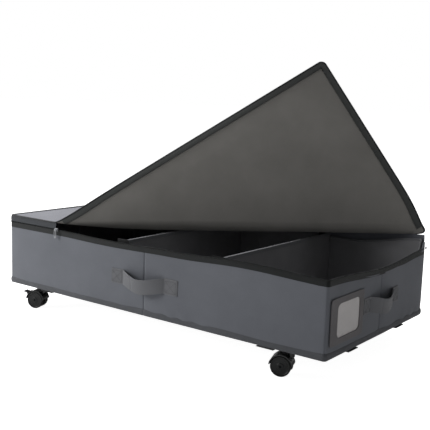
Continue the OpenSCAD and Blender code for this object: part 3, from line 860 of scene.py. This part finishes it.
def on_lid(x, y, h=0.0):
    """Bends a point of the flat lid, at height h above its middle, into its place."""
    a, d = to_fold(x, y)
    radius = bend_radius(a)
    tangent = radius * math.tan(OPEN / 2)
    turn = np.clip((d + tangent) / (2 * tangent), 0, 1) * OPEN
    over = np.maximum(d - tangent, 0)
    under = np.minimum(d + tangent, 0)
    hollow = (np.sin(np.pi * np.clip(a / fold_run, 0, 1))
              * np.sin(np.pi * np.clip(d / CORNER_REACH, 0, 1)))
    bow = (-5 * MM * hollow
           + 1.3 * MM * ripple(a, d, 75 * MM) * np.clip(d / CALM_EDGE, 0, 1)
           + 1.1 * MM * ripple(x, y, 55 * MM) * np.clip(-d / CALM_EDGE, 0, 1)
           - 2.0 * MM * np.clip(-d / SINK_REACH, 0, 1))
    h = h + bow * edge_calm(x, y)
    forward = -tangent + radius * np.sin(turn) + under + over * math.cos(OPEN) - h * np.sin(turn)
    upward = radius * (1 - np.cos(turn)) + over * math.sin(OPEN) + h * np.cos(turn)
    lift = np.where(d < 0, fold_lift(x, y) - fold_slope * a, 0.0) - fold_sag(x, y)
    spot = (np.array(fold_start) + stack(a, a, a) * np.array([flat_line.x, flat_line.y, fold_slope])
            + forward[..., None] * np.array(across_fold) + upward[..., None] * np.array(lid_up))
    spot[..., 2] += lift
    return spot


def edge_calm(x, y):
    """0 at the sewn edge and 1 well inside, so that seams stay straight."""
    inside = np.minimum(half_l - np.abs(x), half_d - np.abs(y - centre_y))
    return np.clip(inside / CALM_EDGE, 0, 1) ** 0.5


print(f"the fold is {fold_run:.3f} m long")

# %% [markdown]
# The grid's rows run parallel to the fold, close together where the cloth bends. Each row is cut
# off at the rounded rectangle of the lid, found by halving the interval again and again.

# %% Rows cut to the lid's outline
def from_fold(a, d):
    """The point of the flat lid that is a along the fold and d in front of it."""
    return (fold_start.x + a * flat_line.x + d * across_fold.x,
            fold_start.y + a * flat_line.y + d * across_fold.y)


def outside(x, y, inset, radius):
    """Distance outside a rounded rectangle, below 0 inside it."""
    qx = np.abs(x) - (half_l - inset - radius)
    qy = np.abs(y - centre_y) - (half_d - inset - radius)
    return np.hypot(np.maximum(qx, 0), np.maximum(qy, 0)) + np.minimum(np.maximum(qx, qy), 0) - radius


def row_ends(d, inset, radius):
    """Where a line at distance d from the fold enters and leaves the outline."""
    samples = np.linspace(-0.6, 1.4, 401)[:, None]
    x, y = from_fold(samples, d)
    middle = samples[:, 0][np.argmin(outside(x, y, inset, radius), axis=0)]
    ends = []
    for far in (-1.2, 2.4):
        inner, outer = middle.copy(), np.full(len(d), far)
        for _ in range(40):
            half = (inner + outer) / 2
            x, y = from_fold(half, d)
            out = outside(x, y, inset, radius) > 0
            inner, outer = np.where(out, inner, half), np.where(out, half, outer)
        ends.append((inner + outer) / 2)
    return ends


def reach(sign, inset, radius):
    """How far the outline goes from the fold on one side."""
    span = ((half_l - inset - radius) * abs(across_fold.x)
            + (half_d - inset - radius) * abs(across_fold.y) + radius)
    middle = to_fold(0, centre_y)[1]
    return middle + sign * (span - 0.4 * MM)


near_fold = 26 * MM
rows = np.concatenate([np.linspace(reach(-1, LID_INSET, LID_CORNER), -near_fold, 84)[:-1],
                       np.linspace(-near_fold, near_fold, 30)[:-1],
                       np.linspace(near_fold, reach(1, LID_INSET, LID_CORNER), 70)])
row_from, row_to = row_ends(rows, LID_INSET, LID_CORNER)
LID_COLUMNS = 120


def lid_place(i, j):
    """The flat lid, row by row, bent into its place."""
    a = row_from[j] + (row_to[j] - row_from[j]) * i / LID_COLUMNS
    x, y = from_fold(a, rows[j])
    return on_lid(x, y, 0.9 * MM), stack(x, y)


print(len(rows), "rows of cloth in the lid")

# %% [markdown]
# A solidify modifier gives the lid its thickness and puts the browner lining on its inner face.

# %% Lid cloth
blend_way = (across_fold * (1 + math.cos(OPEN)) + lid_up * math.sin(OPEN)).normalized()
bend_from, bend_to = fold_start - blend_way * 16 * MM, fold_start + blend_way * 14 * MM


def bend_with_lid(piece):
    """Bakes the piece's placement into its own points."""
    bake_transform(piece)
    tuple(bend_from)
    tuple(bend_to)


lid = cloth("lid_sheet", LID_COLUMNS, len(rows) - 1, lid_place)
edit(lid, bpy.ops.mesh.flip_normals)
lid.data.materials.append(lid_cloth)
lid.data.materials.append(flap_lining)
thicken(lid, 1.8 * MM, material_offset=1, material_offset_rim=1)
dress(lid, None, "lid_fabric", stands_for=("lid_panel", "lid_flap"))
bend_with_lid(lid)

# %% [markdown]
# A cord sewn into tape runs all round the edge of the lid. It is a tube whose middle follows the
# outline, and each of its points is bent with the lid.

# %% Piping round the lid
def outline(inset, radius, step=7 * MM):
    """The lid's outline as a closed line of points with outward directions, from the back left."""
    hx, hy = half_l - inset - radius, half_d - inset - radius
    line = []
    for quarter in range(4):
        run, out = (hy, hx) if quarter % 2 == 0 else (hx, hy)
        turn = math.radians(90 * (quarter - 1))
        c, s = math.cos(turn), math.sin(turn)
        count = max(2, int(2 * run / step))
        straight = [(t, -out - radius, 0.0, -1.0) for t in np.linspace(-run, run, count)]
        round_corner = [(run + radius * math.cos(a), -out + radius * math.sin(a),
                         math.cos(a), math.sin(a))
                        for a in np.radians(np.linspace(-90, 0, 12)[1:-1])]
        line += [(c * x - s * y, s * x + c * y + centre_y, c * nx - s * ny, s * nx + c * ny)
                 for x, y, nx, ny in straight + round_corner]
    return np.array(line + line[:1])


edge = outline(LID_INSET, LID_CORNER)
edge_run = run_along(edge[:, :2])
PIPING_SIDES, PIPING_R = 12, 2.4 * MM


def piping_place(i, j):
    """A tube round the outline, bent with the lid."""
    angle = 2 * np.pi * j / PIPING_SIDES
    out, up = PIPING_R * np.cos(angle), PIPING_R * np.sin(angle)
    spot = on_lid(edge[i, 0] + edge[i, 2] * out, edge[i, 1] + edge[i, 3] * out, up)
    return spot, stack(edge_run[i], angle * PIPING_R)


piping = cloth("edge_piping", len(edge) - 1, PIPING_SIDES, piping_place, closed=True)
dress(piping, None, "piping", piping_cloth, stands_for=("lid_piping", "flap_piping"))
bend_with_lid(piping)

# %% [markdown]
# Inside the piping a border of binding tape covers the raw edge on top. On the underside of the
# free corner lies the zip's own tape, which is wider. Each is a flat ribbon just off the cloth.

# %% Border tapes on the lid
BORDER_ROWS = 4


def border(name, height, width, material, start=0, stop=None, slot="piping", stands_for=()):
    """A ribbon along the outline, at a height above or below the middle of the lid."""
    line = edge[start:stop]
    run = edge_run[start:stop]

    def place(i, j):
        t = j / BORDER_ROWS
        inward = 1.2 * MM + width * t
        rise = height + math.copysign(0.5 * MM, height) * np.sin(np.pi * t) ** 0.6
        spot = on_lid(line[i, 0] - line[i, 2] * inward, line[i, 1] - line[i, 3] * inward, rise)
        return spot, stack(run[i], inward)
    ribbon = cloth(name, len(line) - 1, BORDER_ROWS, place)
    if height > 0:
        edit(ribbon, bpy.ops.mesh.flip_normals)
    thicken(ribbon, 0.6 * MM, offset=1.0)
    dress(ribbon, None, slot, material, stands_for=stands_for)
    bend_with_lid(ribbon)


def nearest(x, y):
    """The number of the outline's point that is nearest to this place."""
    return int(np.argmin(np.hypot(edge[:, 0] - x, edge[:, 1] - y)))


border("top_border", 1.3 * MM, 7 * MM, piping_cloth)
past_slider = nearest(fold_start.x + 18 * MM, edge[:, 1].min())
past_corner = nearest(edge[:, 0].max(), back_y - 14 * MM)
border("flap_border_tape", -1.5 * MM, 14 * MM, flap_tape_cloth, past_slider, past_corner, "zip_tape",
       ("flap_tape",))

# %% [markdown]
# The zip's coil is sewn along the free edge of its tape. Each turn shows as one small tooth, so a
# single bevelled block is repeated along the line, two and a half millimetres apart.

# %% Coil on the free corner
coil_line = edge[past_slider:past_corner]
COIL_INSET = 15.6 * MM
coil_x = coil_line[:, 0] - coil_line[:, 2] * COIL_INSET
coil_y = coil_line[:, 1] - coil_line[:, 3] * COIL_INSET
coil_path = on_lid(coil_x, coil_y, -3.0 * MM)
coil_out = coil_path - on_lid(coil_x, coil_y, 0.0)


def coil(name, path, out, tooth, body, stands_for, pitch=2.5 * MM):
    """Teeth along a path, standing on faces that look out."""
    places, along = spaced(path, pitch)
    run = run_along(path)
    at = np.linspace(0, run[-1], len(places))
    faces = stack(*[np.interp(at, run, out[:, k]) for k in range(3)])
    teeth = repeat(name, tooth, places, along, faces)
    return dress(teeth, body, "zip_coil", coil_nylon, stands_for=stands_for)


flap_teeth = coil("flap_coil_teeth", coil_path, coil_out, HALF_TOOTH, None, ("flap_coil",))
bend_with_lid(flap_teeth)

# %% [markdown]
# ## The zip on the box
# The lower tape runs from one back corner round to the other. Where the zip is open it stands free
# and follows the hanging rim. The teeth run along its top edge.

# %% Lower tape
zip_line = [k for k in range(len(wall_spots)) if wall_spots[k, 1] < back_y - 8 * MM]
zip_spots, zip_ways = wall_spots[zip_line], wall_ways[zip_line]
zip_run = run_along(zip_spots)
TAPE_ROWS = 6


def on_rim(k, z, out):
    """A point of the zip line, at a height above the straight rim and a distance out from it."""
    x, y = zip_spots[k, 0], zip_spots[k, 1]
    return stack(x + zip_ways[k, 0] * out, y + zip_ways[k, 1] * out, z + rim_drop(x, y))


def lower_tape_place(i, j):
    """The tape on the box, which leans inwards where the zip is open."""
    t = j / TAPE_ROWS
    z = cloth_top - 1 * MM + (zip_z - cloth_top + 1 * MM) * t
    opened = np.clip((zip_spots[i, 0] - slider_x) / 0.05, 0, 1)
    out = (0.9 * MM - 0.5 * MM * t - 1.6 * MM * opened * t ** 2
           + 0.5 * MM * ripple(zip_run[i], t, 40 * MM) * opened)
    return on_rim(i, z, out), stack(zip_run[i], z)


lower_tape = cloth("lower_zip_tape", len(zip_line) - 1, TAPE_ROWS, lower_tape_place)
thicken(lower_tape, 0.9 * MM)
dress(lower_tape, "box", "zip_tape", zip_tape, stands_for=("zip_tape_lower",))

# %% [markdown]
# The upper tape hangs from the lid's edge, but only where the zip is closed: round the left end and
# along the front as far as the slider.

# %% Upper tape
shut = [k for k in range(len(zip_line)) if zip_spots[k, 0] < slider_x + 2 * MM]


def upper_tape_place(i, j):
    """The tape on the shut lid, bowed out a little."""
    t = j / TAPE_ROWS
    z = zip_z + 0.6 * MM + (lid_z - zip_z - 1.5 * MM) * t
    out = 0.4 * MM + 1.3 * MM * np.sin(np.pi * t)
    return on_rim(i, z, out), stack(zip_run[i], z)


upper_tape = cloth("upper_zip_tape", len(shut) - 1, TAPE_ROWS, upper_tape_place)
thicken(upper_tape, 0.9 * MM)
dress(upper_tape, "box", "zip_tape", closed_tape, stands_for=("zip_tape_lid",))

# %% [markdown]
# The box has two runs of teeth. Where the zip is shut both halves mesh, so the teeth are as wide as
# the pair. Past the slider only the lower half is left on the box, and its teeth are narrower.

# %% Teeth on the box
closed_path = on_rim(np.array(shut), zip_z, 1.2 * MM)
closed_out = np.concatenate([zip_ways[shut], np.zeros((len(shut), 1))], axis=1)
coil("closed_coil_teeth", closed_path, closed_out, TOOTH, "box", ("zip_coil_closed",))
opened = [k for k in range(len(zip_line)) if zip_spots[k, 0] > slider_x + 12 * MM]
open_path = on_rim(np.array(opened), zip_z - 1.2 * MM, 0.2 * MM)
open_out = np.concatenate([zip_ways[opened], np.zeros((len(opened), 1))], axis=1)
coil("open_coil_teeth", open_path, open_out, HALF_TOOTH, "box", ("zip_coil_lower",))

# %% [markdown]
# Two pieces here are flat plates with a window in them: the pull of the zip and the frame of the
# label. A ring of squares between two rounded rectangles makes either, so they share a function.

# %% Rounded frames
def rounded_outline(width, height, radius, count=48):
    """Points round a rounded rectangle, centred on 0."""
    angle = np.linspace(0, 2 * np.pi, count, endpoint=False)
    c, s = np.cos(angle), np.sin(angle)
    power = 1 / np.maximum(np.abs(c), np.abs(s))
    x, y = c * power, s * power
    across, up = x * width / 2, y * height / 2
    over_x = np.maximum(np.abs(across) - (width / 2 - radius), 0)
    over_y = np.maximum(np.abs(up) - (height / 2 - radius), 0)
    both = (over_x > 0) & (over_y > 0)
    length = np.maximum(np.hypot(over_x, over_y), 1e-9)
    across = np.where(both, np.sign(across) * (width / 2 - radius + radius * over_x / length), across)
    up = np.where(both, np.sign(up) * (height / 2 - radius + radius * over_y / length), up)
    return np.stack([across, up], axis=1)


def window_frame(name, outer, inner, place, shift=(0.0, 0.0), rows=4):
    """A flat frame between an outer and an inner rounded rectangle; place(a, b) puts it in space."""
    big, small = rounded_outline(*outer) + np.array(shift), rounded_outline(*inner)
    big, small = np.vstack([big, big[:1]]), np.vstack([small, small[:1]])

    def lay(i, j):
        t = (j / rows)[:, None]
        flat = small[i] * (1 - t) + big[i] * t
        return place(flat[:, 0], flat[:, 1]), flat
    return cloth(name, len(big) - 1, rows, lay, closed=True)


print("a rounded frame has", len(rounded_outline(1.0, 1.0, 0.1)), "points on each side")

# %% [markdown]
# The slider is a small cast body with rounded edges and a bridge for the pull. The bridge is a
# second block, added inside the same mesh. The pull is a flat tab with a slot, held on the bridge.

# %% Slider and pull
slider_lo, slider_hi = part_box("zip_slider")
pull_lo, pull_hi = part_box("pull_tab")
bpy.ops.object.select_all(action="DESELECT")
slider_mid = (slider_lo + slider_hi) / 2
bpy.ops.mesh.primitive_cube_add(size=1.0, location=(slider_mid.x, front_y - 3.0 * MM, slider_mid.z))
slider = bpy.context.object
slider.name = slider.data.name = "slider_body"
bpy.ops.transform.resize(value=(12 * MM, 2.0 * MM, 8.4 * MM))
bpy.ops.object.transform_apply(location=True, rotation=False, scale=True)
bpy.ops.object.mode_set(mode="EDIT")
bpy.ops.mesh.select_all(action="SELECT")
bpy.ops.mesh.bevel(offset=0.8 * MM, segments=3)
bridge_place = (slider_mid.x, front_y - 5.4 * MM, slider_mid.z + 1 * MM)
bpy.ops.mesh.primitive_cube_add(size=1.0, location=bridge_place)
bpy.ops.transform.resize(value=(9 * MM, 3.2 * MM, 2.0 * MM))
bpy.ops.mesh.bevel(offset=0.6 * MM, segments=2)
bpy.ops.object.mode_set(mode="OBJECT")
dress(slider, "slider", "zip_metal", grey_enamel, stands_for=("zip_slider",))
pull_mid, pull_size = (pull_lo + pull_hi) / 2, pull_hi - pull_lo


def on_pull(a, b):
    """A flat point of the pull, which is a little wider at its lower end."""
    return stack(pull_mid.x + a * (1 - 0.1 * b / pull_size.z), pull_mid.y - 0.9 * MM, pull_mid.z + b)


pull_slot = (3.4 * MM, pull_size.z * 0.55, 1.6 * MM)
pull = window_frame("pull_plate", (pull_size.x, pull_size.z, 3.0 * MM), pull_slot, on_pull,
                    shift=(0.0, 1.0 * MM))
thicken(pull, 1.2 * MM, offset=0.0)
modify(pull, "BEVEL", width=0.25 * MM, segments=2, limit_method="ANGLE")
dress(pull, "pull", "zip_metal", grey_enamel, stands_for=("pull_tab",))

# %% [markdown]
# ## Handles
# A handle is one length of ribbed webbing, sewn down at both ends and slack between them, so it
# stands off the wall and droops a little. The same function makes all three, each from its node's
# own box, turned to the side of the box that it is on.

# %% Webbing handles
def handle_frame(node):
    """Middle of the wall behind a handle, the way along it, the way out, and its half length."""
    low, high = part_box(node)
    middle = (low + high) / 2
    if high.x - low.x > high.y - low.y:
        wall, along, out = (middle.x, high.y, middle.z), (1, 0, 0), (0, -1, 0)
        half = (high.x - low.x) / 2
    else:
        side = 1 if middle.x > 0 else -1
        wall_x = low.x if side > 0 else high.x
        wall, along, out = (wall_x, middle.y, middle.z), (0, side, 0), (side, 0, 0)
        half = (high.y - low.y) / 2
    return np.array(wall), np.array(along, float), np.array(out, float), half


WEB_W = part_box("front_handle")[1].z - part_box("front_handle")[0].z
WEB_COLUMNS, WEB_ROWS, PATCH_SQUARES = 90, 12, 16


def handle(name, node, patch, stand):
    """A slack strap; its two sewn end patches are made apart from it."""
    wall, along, out, half = handle_frame(node)
    free = half - patch

    def strap(i, j):
        run = (i / WEB_COLUMNS * 2 - 1) * half
        share = j / WEB_ROWS
        inner = np.clip((free - np.abs(run)) / free, 0, 1)
        bow = stand * np.sin(np.pi / 2 * inner) ** 0.85
        droop = -11 * MM * np.sin(np.pi / 2 * inner) ** 1.6
        edge_z = (share - 0.5) * WEB_W
        lean = 2.5 * MM * np.sin(np.pi / 2 * inner) * (share - 0.5) * 2
        crease = 0.9 * MM * np.exp(-((run + free * 0.42) / (2.5 * MM)) ** 2)
        off = 1.6 * MM + bow + lean - crease + 0.4 * MM * np.cos(share * 2 * np.pi)
        spot = wall + run[:, None] * along + off[:, None] * out
        spot[:, 2] += edge_z + droop
        return spot, stack(run, edge_z)
    strip = cloth(name + "_strap", WEB_COLUMNS, WEB_ROWS, strap)
    thicken(strip, 1.9 * MM, offset=0.0)
    dress(strip, "box", "webbing", handle_webbing, stands_for=(node,))
    return wall, along, out, half


def sewn_patch(name, wall, along, out, centre, width):
    """A folded end of webbing, a little wider than the strap, with a soft raised edge."""
    def place(i, j):
        u, v = i / PATCH_SQUARES * 2 - 1, j / PATCH_SQUARES * 2 - 1
        run, up = centre + u * width / 2, v * (WEB_W / 2 + 2 * MM)
        pad = 1.7 * MM * (1 - np.maximum(np.abs(u), np.abs(v)) ** 8)
        spot = wall + run[:, None] * along + (0.8 * MM + pad)[:, None] * out
        spot[:, 2] += up
        return spot, stack(run, up)
    return cloth(name, PATCH_SQUARES, PATCH_SQUARES, place)


def box_stitch(wall, along, out, centre, width, stand):
    """A sewn square with a cross in it, as lists of places, directions and faces."""
    a, b = width / 2 - 4 * MM, WEB_W / 2 - 4 * MM
    corners = [(-a, -b), (a, -b), (a, b), (-a, b), (-a, -b), (a, b)], [(a, -b), (-a, b)]
    places, ways = [], []
    for line in corners:
        for (x0, z0), (x1, z1) in zip(line[:-1], line[1:]):
            path = np.array([wall + (centre + x) * along + stand * out + np.array([0, 0, z])
                             for x, z in ((x0, z0), (x1, z1))])
            spots, way = spaced(path, 3.8 * MM)
            places.append(spots)
            ways.append(way)
    places, ways = np.vstack(places), np.vstack(ways)
    return places, ways, np.tile(out, (len(places), 1))


HANDLES = (("front", "front_handle", 40 * MM, 18 * MM), ("right", "right_handle", 30 * MM, 17 * MM),
           ("left", "left_handle", 30 * MM, 17 * MM))
patches, sewing = [], []
for name, node, patch, stand in HANDLES:
    wall, along, out, half = handle(name, node, patch, stand)
    for side in (-1, 1):
        centre = side * (half - patch / 2)
        patches.append(sewn_patch("patch", wall, along, out, centre, patch + 4 * MM))
        sewing.append(box_stitch(wall, along, out, centre, patch, 4.2 * MM))
patches = joined("sewn_patches", patches)
thicken(patches, 1.2 * MM)
dress(patches, "box", "webbing", handle_webbing, stands_for=("handle_patches",))
stitches = repeat("patch_stitches", STITCH, *[np.vstack(k) for k in zip(*sewing)])
dress(stitches, "box", "webbing", thread)

# %% [markdown]
# ## The label pocket
# A woven frame is sewn to the end of the box. A blank card shows through its window of clear film.

# %% Label pocket
frame_lo, frame_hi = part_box("label_frame")
card_lo, card_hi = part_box("label_card")
card_mid, card_size = (card_lo + card_hi) / 2, card_hi - card_lo
frame_mid, frame_size = (frame_lo + frame_hi) / 2, frame_hi - frame_lo


def on_label(stand):
    """Places a flat point of the label at a distance out from the end wall."""
    def place(a, b):
        x = half_l + stand + 0.25 * MM * ripple(a, b, 30 * MM)
        return stack(x, card_mid.y + a, card_mid.z + b)
    return place


pocket = window_frame("label_pocket", (frame_size.y, frame_size.z, 5 * MM),
                      (card_size.y, card_size.z, 12 * MM), on_label(2.6 * MM),
                      shift=(frame_mid.y - card_mid.y, frame_mid.z - card_mid.z), rows=8)
thicken(pocket, 1.4 * MM)
modify(pocket, "BEVEL", width=0.4 * MM, segments=2, limit_method="ANGLE")
dress(pocket, "box", "label_border", label_cloth, stands_for=("label_frame",))


def sheet_in_window(name, stand, grow):
    """A blank sheet with rounded corners that fills the window."""
    outline_size = (card_size.y + grow, card_size.z + grow, 12 * MM)
    return window_frame(name, outline_size, (2 * MM, 2 * MM, 1 * MM), on_label(stand), rows=8)


card = sheet_in_window("blank_card", 1.7 * MM, 5 * MM)
thicken(card, 0.5 * MM)
dress(card, "box", "label_card", card_stock, stands_for=("label_card",))
window = sheet_in_window("window_film", 2.1 * MM, 4 * MM)
thicken(window, 0.25 * MM)
dress(window, "box", "label_film", clear_film, stands_for=("label_window",))

# %% [markdown]
# ## Dividers
# A divider is a board covered in cloth, bound with a light folded tape on top. Two black hook
# tabs, bent along the wall, hold it to the long sides. Both dividers are made by one loop.

# %% Dividers
PANEL_COLUMNS, PANEL_ROWS, BINDING_ROWS = 80, 24, 12
TAB_COLUMNS, TAB_ROWS = 24, 10


def divider(side):
    """Cloth, binding and tabs of one divider, each from its own node's box."""
    body = "divider_" + side
    low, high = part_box(body + "_panel")
    mid_x = (low.x + high.x) / 2
    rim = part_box(body + "_binding")[1].z

    def panel(i, j):
        y = low.y + (high.y - low.y) * (i / PANEL_COLUMNS)
        z = low.z + (rim - 2 * MM - low.z) * (j / PANEL_ROWS)
        x = mid_x + 1.0 * MM * ripple(y, z, 80 * MM)
        return stack(x, y, z), stack(y, z)
    board = cloth(body + "_board", PANEL_COLUMNS, PANEL_ROWS, panel)
    thicken(board, high.x - low.x, offset=0.0)
    modify(board, "BEVEL", width=1.0 * MM, segments=2, limit_method="ANGLE")
    dress(board, body, "shell_fabric", wall_lining, stands_for=(body + "_panel",))
    bind_lo, bind_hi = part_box(body + "_binding")

    def binding(i, j):
        angle = np.pi * (j / BINDING_ROWS)
        y = bind_lo.y + (bind_hi.y - bind_lo.y) * i / PANEL_COLUMNS
        half, depth = (bind_hi.x - bind_lo.x) / 2 + 0.2 * MM, bind_hi.z - bind_lo.z
        x = mid_x + 1.0 * MM * ripple(y, rim, 80 * MM) + half * np.cos(angle)
        crown = rim - half * 0.5 + half * 0.5 * np.sin(angle)
        z = np.where(np.sin(angle) > 0.35, crown, rim - depth)
        return stack(x, y, z), stack(y, angle * half)
    tape = cloth(body + "_tape", PANEL_COLUMNS, BINDING_ROWS, binding)
    edit(tape, bpy.ops.mesh.normals_make_consistent, inside=False)
    thicken(tape, 0.7 * MM, offset=1.0)
    dress(tape, body, "binding", binding_cloth, stands_for=(body + "_binding",))
    tab_lo, tab_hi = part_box(body + "_tabs")
    ends = []
    for end_y, way in ((tab_lo.y + 0.75 * MM, 1), (tab_hi.y - 0.75 * MM, -1)):
        def tab(i, j, end_y=end_y, way=way):
            t = i / TAB_COLUMNS
            x = tab_lo.x + (tab_hi.x - tab_lo.x) * t
            y = end_y + way * (0.3 * MM + 1.2 * MM * np.clip(t - 0.75, 0, 1) * 4)
            z = tab_lo.z + (tab_hi.z - tab_lo.z) * j / TAB_ROWS
            return stack(x, y, z), stack(x, z)
        ends.append(cloth("tab", TAB_COLUMNS, TAB_ROWS, tab))
    tabs = joined(body + "_hooks", ends)
    thicken(tabs, 1.3 * MM, offset=0.0)
    dress(tabs, body, "hook_tape", hook_tape, stands_for=(body + "_tabs",))


for side in ("left", "right"):
    divider(side)

# %% [markdown]
# ## Frame parts that stay
# Tubes, blocks, plates, screws and the moulded caster parts have their true shape already. They
# only get their finishes, which take the place of the materials that they came with.


def refinish(material, *names):
    """Gives nodes of the frame a finish, in place of the materials that they came with."""
    for name in names:
        node = frame["nodes"][name]
        node.data.materials.clear()
        node.data.materials.append(material)


CASTERS = ("caster_fl", "caster_fr", "caster_bl", "caster_br")
refinish(tube_paint, "frame_long_tubes", "frame_end_tubes", "frame_cross_tubes")
refinish(hardboard, "front_boards", "back_boards", "left_boards")
refinish(zinc, "caster_plates", "plate_screws")
refinish(black_steel, "zip_stops", *[c + "_axle" for c in CASTERS])
refinish(gloss_nylon, "caster_blocks", *[c + "_hood" for c in CASTERS])
refinish(satin_nylon, *[c + "_wheels" for c in CASTERS])
refinish(pedal_nylon, "caster_fl_pedal", "caster_br_pedal")
print("finishes on", len(frame["nodes"]), "nodes")
